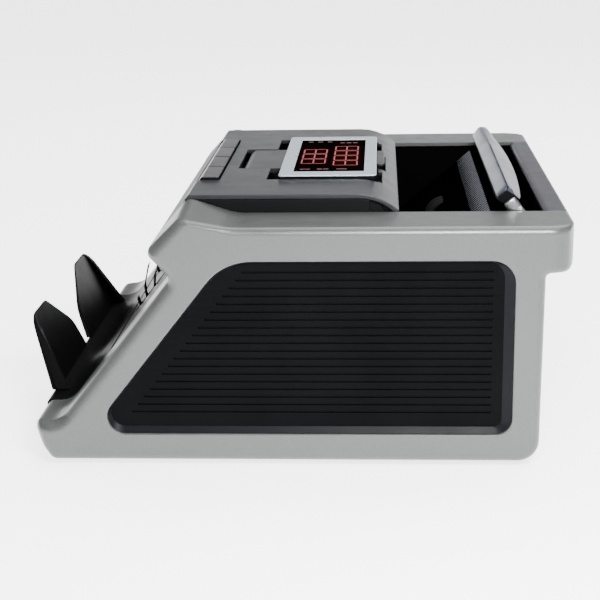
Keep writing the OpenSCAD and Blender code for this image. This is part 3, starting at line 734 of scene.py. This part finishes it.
def make_display():
    """Silver frame, dark window, and the digits' lamps just above the window's face."""
    low, high = lowest("display_bezel"), highest("display_bezel")
    inner_low, inner_high = lowest("display_window"), highest("display_window")
    plan = rectangle(low.x, high.x, low.y, high.y, 2.2)
    hole = rectangle(inner_low.x, inner_high.x, inner_low.y, inner_high.y, 0.6)
    parting = low.z + 0.85
    piece = make("bezel", slab_z(plan, parting, high.z, 0.5, hole, 0.3), "bezel_silver", "display")
    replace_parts(piece, "display_bezel")
    skirt = rectangle(low.x + 0.15, high.x - 0.15, low.y + 0.15, high.y - 0.15, 2)
    make("bezel_skirt", slab_z(skirt, low.z, parting + 0.1, 0.1, hole, 0.05), "black_plastic", "display")
    face = rectangle(inner_low.x, inner_high.x, inner_low.y, inner_high.y, 0.5)
    piece = make("window", slab_z(face, low.z, DISPLAY_TOP, 0.1), "display_glass", "display")
    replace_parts(piece, "display_window")
    lamps, faces = bmesh.new(), []
    for y, count, middle in DIGIT_ROWS:
        half = count * DIGIT_PITCH / 2
        faces.append(slab_z(rectangle(middle - half - 0.6, middle + half + 0.6, y - 8.4, y + 8.4, 0.6),
                            DISPLAY_TOP - 0.4, DISPLAY_TOP + 0.03, 0.02))
        for i in range(count):
            digit(lamps, middle + (i - (count - 1) / 2) * DIGIT_PITCH, y, DISPLAY_TOP + 0.08)
    make("digit_faces", joined(faces), "digit_face", "display")
    make("digit_lamps", lamps, "led_red", "display")
    marks = []
    for x, ys in INDICATORS:
        for y in ys:
            marks.append(slab_z(rectangle(x - 0.7, x + 0.7, y - 1.5, y + 1.5, 0.3),
                                DISPLAY_TOP - 0.3, DISPLAY_TOP + 0.05, 0.05))
    make("indicator_lamps", joined(marks), "led_dim", "display")


KEY_WELL_HALF = 63.5


def in_key_well_painted_shade(centre, normal):
    """The walls and floor of the opening that the keys sit in, painted black as painted shade."""
    beside_keys = lowest("key_1").y - 2 < centre.y < highest("key_1").y + 1.2
    return (beside_keys and abs(centre.x) < KEY_WELL_HALF
            and (abs(normal.z) < 0.9 or centre.z < HEAD_Z - 1))


TAB_HALF = 21
TAB_Z = (139.0, 140.2)


def make_head():
    cover = softened("head_cover", 0.5, "head_grey", 3)
    # Painted shade: the key opening's walls and floor are black.
    recolour(cover, "black_plastic", in_key_well_painted_shade)
    softened("head_frame", 0.4, "dark_skirt")
    softened("front_fascia", 0.3, "black_plastic")
    softened("display_arm", 0.5, "head_grey")
    softened("display_tray", 0.3, "black_plastic")
    make_keys()
    make_display()
    front, rear = highest("display_bezel").y - 0.2, highest("display_tray").y + 0.4
    tab = rectangle(-TAB_HALF, TAB_HALF, front, rear, 1.6)
    make("thumb_tab", slab_z(tab, *TAB_Z, 0.5), "head_grey", "display")


# ---- hopper and handle ----------------------------------------------------------------

FLOOR_TOP = Vector((111.0, 125.0))
FLOOR_TILT = math.radians(40)
RIB_PITCH = 4.4
RIB_HEIGHT = 0.5
# Distance of each of a rib's sections from the floor's upper edge, and the section's size
RIB_SECTIONS = ((-0.6, 0.5), (-1.2, 1.0), (-4.5, 0.8), (-8.0, 0.45), (-12.0, 0.12))
RIB_PROFILE = ((-1, -0.2), (-0.6, 0.7), (0, 1), (0.6, 0.7), (1, -0.2))


def make_hopper():
    """Floor plate with fine ribs that run down its slope, below a smooth strip."""
    # The hopper's inside and the handle's well are black plastic darkened further as painted shade.
    softened("hopper_floor", 0.3, "hopper_black_painted_shade")
    softened("hopper_front_plate", 0.3, "hopper_black_painted_shade")
    softened("handle_well", 0.4, "hopper_black_painted_shade")
    along = Vector((0, math.cos(FLOOR_TILT), math.sin(FLOOR_TILT)))
    normal = Vector((0, -math.sin(FLOOR_TILT), math.cos(FLOOR_TILT)))
    top = Vector((0, FLOOR_TOP.x, FLOOR_TOP.y))
    bm = bmesh.new()
    reach = highest("hopper_floor").x - 2.5
    count = int(2 * reach / RIB_PITCH)
    for i in range(count + 1):
        x = -reach + i * 2 * reach / count
        rings = []
        for down, size in RIB_SECTIONS:
            middle = top + along * down + Vector((x, 0, 0))
            rings.append(ring(bm, [middle + Vector((a * size, 0, 0)) + normal * b * RIB_HEIGHT * size
                                   for a, b in RIB_PROFILE]))
        bands(bm, rings)
        plate(bm, rings[0])
        plate(bm, rings[-1])
    # Painted highlight: the ribs are lighter than the floor.
    make("hopper_ribs", bm, "rib_grey_painted_highlight", NODES["hopper_floor"]["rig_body"], 60)


def make_rear():
    softened("rear_cover", 1.0, "rear_grey", 3)
    softened("rear_panel", 0.3, "black_plastic")
    softened("inlet_socket", 0.2, "black_plastic")
    softened("switch_frame", 0.3, "black_plastic")
    softened("power_rocker", 0.4, "rocker_red", 3)


RIDGE_Y = 117.8
RIDGE_Z = 142.2
GRIP_FLOOR_Z = 133.0
GRIP_SEAM = 0.22
SEAM_CLOSED = 0.02
SEAM_END = -0.34
GRIP_STEPS = 40


def clamp(value):
    return max(0.0, min(1.0, value))


def seam(u):
    """Half the gap along the ridge; it closes before the far end of the grip."""
    return SEAM_CLOSED + (GRIP_SEAM - SEAM_CLOSED) * clamp((u - SEAM_END) / 0.08)


def grip_section(u, rear):
    """Section of the grip at u from -1 to 1 along it: corners (y, z) from the ridge's seam down.

    The grip bulges at its middle (crown), draws in at its ends (end), and its ridge is rounder
    towards the far end (soft).
    """
    crown = 1 - u * u
    end = max(0.0, (abs(u) - 0.93) / 0.07)
    ridge = RIDGE_Z + 0.4 * crown - 0.5 * end ** 2
    gap = seam(u)
    soft = clamp((-0.4 - u) / 0.4)
    if rear:
        edge = 124.6 + 4.0 * crown - 0.7 * end ** 2
        return [(RIDGE_Y + gap, ridge - 2 * gap), (RIDGE_Y + gap + 0.5, ridge - 0.1),
                (RIDGE_Y + 2.5, ridge - 1.2 + 0.8 * soft),
                (RIDGE_Y + 0.55 * (edge - RIDGE_Y), ridge - 3.1 + 1.4 * soft),
                (edge - 1.2, 136.9), (edge, 135.5), (edge - 0.4, 134.1), (edge - 1.6, 133.6),
                (RIDGE_Y + gap, GRIP_FLOOR_Z)]
    front = 111.8 + 0.7 * end ** 2
    return [(RIDGE_Y - gap, GRIP_FLOOR_Z), (front + 1.2, 134.6), (front + 0.1, 135.4),
            (front, 136.6), (front + 0.6, 137.7), (front + 3.0, ridge - 2.2 + 1.3 * soft),
            (RIDGE_Y - gap - 1.2, ridge - 0.5 + 0.3 * soft), (RIDGE_Y - gap - 0.4, ridge - 0.1),
            (RIDGE_Y - gap, ridge - 2 * gap)]


CAP_SECTION = [(112.9, 134.6, 1.2), (117.5, 132.8, 1), (123.6, 134.2, 1.5), (124.0, 136.0, 1.2),
               (117.4, 140.5, 1.2), (112.7, 137.2, 1.2)]
TIP_SECTION = [(121.6, 129.6, 0.3), (126.4, 129.2, 0.3), (124.4, 133, 0.3)]
# Where an arm starts and ends (y, z), half its width and half its thickness
ARM_ENDS = ((118.4, 135.2), (131.0, 118.0))
ARM_HALF = (3.8, 1.5)
# Places along an arm, and how wide it is there
ARM_SHAPE = ((-0.02, 0.6), (0.0, 0.85), (0.05, 0.97), (0.12, 1), (0.9, 1), (1.05, 0.8), (1.12, 0.3))
ARM_SIDES = 24


def make_handle():
    """Two-part grip that bulges to the rear at its middle, dark ends inside it, and bright arms."""
    length = highest("handle_grip_front").x
    for part, rear in (("front", False), ("rear", True)):
        bm = bmesh.new()
        rings = []
        for i in range(GRIP_STEPS + 1):
            u = -math.cos(math.pi * i / GRIP_STEPS)
            rings.append(ring(bm, [(u * length, y, z) for y, z in grip_section(u, rear)]))
        bands(bm, rings)
        plate(bm, rings[0])
        plate(bm, rings[-1])
        piece = make("grip_" + part, bm, "handle_grey", "handle", 40)
        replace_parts(piece, "handle_grip_" + part)
    caps, arms, tips = [], [], []
    for side in (-1, 1):
        caps.append(end_cap(side, length, highest("handle_end_caps").x))
        arms.append(arm(side, highest("handle_end_caps").x))
        ends = sorted((side * (length + 2.6), side * (length + 4.7)))
        tips.append(bar_x(TIP_SECTION, *ends, 0.2))
    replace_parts(make("grip_caps", joined(caps), "black_plastic", "handle"), "handle_end_caps")
    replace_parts(make("arm_tubes", joined(arms), "arm_steel", "handle", 60), "handle_arms")
    make("arm_tips", joined(tips), "chrome", "handle")


def end_cap(side, inner, outer):
    """A dark end set just inside the grip's outline."""
    low, high = sorted((side * (inner - 0.6), side * outer))
    return bar_x(CAP_SECTION, low, high, 0.35)


def arm(side, x0):
    """A wide flattened tube from inside the grip's end down to the pivot."""
    bm = bmesh.new()
    start, end = (Vector((0, y, z)) for y, z in ARM_ENDS)
    width, thickness = ARM_HALF
    along = (end - start).normalized()
    across = Vector((0, -along.z, along.y))
    rings = []
    angles = [math.tau * k / ARM_SIDES for k in range(ARM_SIDES)]
    for t, size in ARM_SHAPE:
        middle = start.lerp(end, t)
        rings.append(ring(bm, [middle + across * width * size * math.sin(a)
                               + Vector((side * (x0 + thickness * (1 + size * math.cos(a))), 0, 0))
                               for a in angles]))
    bands(bm, rings)
    plate(bm, rings[0])
    plate(bm, rings[-1])
    return bm


# ---- stacker and small things --------------------------------------------------------------

PRONG = [(6.5, 23.9, 0.5), (88, 23.9, 0.5), (73.5, 63.6, 13), (40, 63.6, 12), (10.4, 42, 16)]
PRONG_FOOT_Z = 23.9
PRONG_FOOT_Y = -136.4
PRONG_LEAN = 0.331
PRONG_THICK = 3.2
PRONG_TAPER = 0.062
GUSSET_THICK = 3.4
# Rear edge of a prong's gusset: height and y
GUSSET = [(23.9, -127.6), (25.5, -124.6), (28, -124.6), (41, -133.6), (53.5, -142.2), (63.6, -148.5)]


def prong_front(z):
    return PRONG_FOOT_Y - PRONG_LEAN * (z - PRONG_FOOT_Z)


def prong_rear(z):
    return prong_front(z) + PRONG_THICK - PRONG_TAPER * (z - PRONG_FOOT_Z)


def gusset_rear(z):
    for (z0, y0), (z1, y1) in zip(GUSSET, GUSSET[1:]):
        if z <= z1:
            return max(y0 + (y1 - y0) * (z - z0) / (z1 - z0), prong_rear(z) + 0.05)
    return prong_rear(z) + 0.05


def prong():
    """A leaning plate with rounded edges, and a gusset behind its outer edge."""
    steps = 11
    bm = bmesh.new()
    rings = []
    soft = 0.35
    for depth, where, shift in ((soft, prong_front, 0), (0, prong_front, soft),
                                (0, prong_rear, -soft), (soft, prong_rear, 0)):
        rings.append(ring(bm, [(p.x, where(p.y) + shift, p.y) for p in outline(PRONG, depth, steps)]))
    bands(bm, rings)
    plate(bm, rings[0])
    plate(bm, rings[-1])
    outer = outline(PRONG, 0, steps)[steps:3 * steps]
    inner = outline(PRONG, [0, GUSSET_THICK, 0, 0, 0], steps)[steps:3 * steps]
    loop = outer + inner[::-1]
    front = ring(bm, [(p.x, (prong_front(p.y) + prong_rear(p.y)) / 2, p.y) for p in loop])
    rear = ring(bm, [(p.x, gusset_rear(p.y), p.y) for p in loop])
    band(bm, front, rear)
    for edge in (front, rear):
        for i in range(2 * steps - 1):
            bm.faces.new((edge[i], edge[i + 1], edge[-i - 2], edge[-i - 1]))
    return bm


def make_stacker():
    softened("stacker_tray", 0.5, "black_plastic", 3)
    softened("stacker_back_plate", 0.3, "black_plastic")
    for side in ("right", "left"):
        bm = prong() if side == "right" else mirrored(prong())
        piece = make("prong_" + side, bm, "black_plastic", NODES["stacker_prong_" + side]["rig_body"], 28)
        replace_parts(piece, "stacker_prong_" + side)


CAD_MATERIALS = {
    "rubber": ["rubber_feet", "feed_rollers", "kick_rollers", "transport_rollers", "retard_rollers",
               "drive_belt", "transport_belts", "kick_belt"],
    "steel": ["housing_screws", "tie_rods", "bearings", "feed_shaft", "kick_shaft", "transport_shaft",
              "stacker_shaft", "pinch_rollers", "motor_shaft", "motor_body"],
    "frame_steel": ["side_frame_right", "side_frame_left", "base_pan"],
    "black_plastic": ["sensor_bars", "stacker_wheels"],
    # Guides darkened as painted shade.
    "guide_black_painted_shade": ["lower_guide", "upper_guide"],
    "psu_cage": ["power_supply"],
    "board": ["main_board", "key_board", "display_board"],
}


def paint_cad_nodes():
    """The CAD nodes that keep their own shape get their materials."""
    for material, names in CAD_MATERIALS.items():
        for name in names:
            NODES[name].data.materials.clear()
            NODES[name].data.materials.append(MATERIALS[material])


FLOOR_SIZE = 4
FLOOR_DROP = 0.0002


def make_floor():
    bm = bmesh.new()
    bmesh.ops.create_grid(bm, x_segments=8, y_segments=8, size=FLOOR_SIZE)
    mesh = bpy.data.meshes.new("floor")
    bm.to_mesh(mesh)
    bm.free()
    mesh.materials.append(MATERIALS["floor"])
    floor = bpy.data.objects.new("floor", mesh)
    floor.location.z = -FLOOR_DROP
    bpy.context.scene.collection.objects.link(floor)


make_camera()
make_lights()
make_materials()
make_sides()
make_head()
make_hopper()
make_rear()
make_handle()
make_stacker()
paint_cad_nodes()
make_floor()
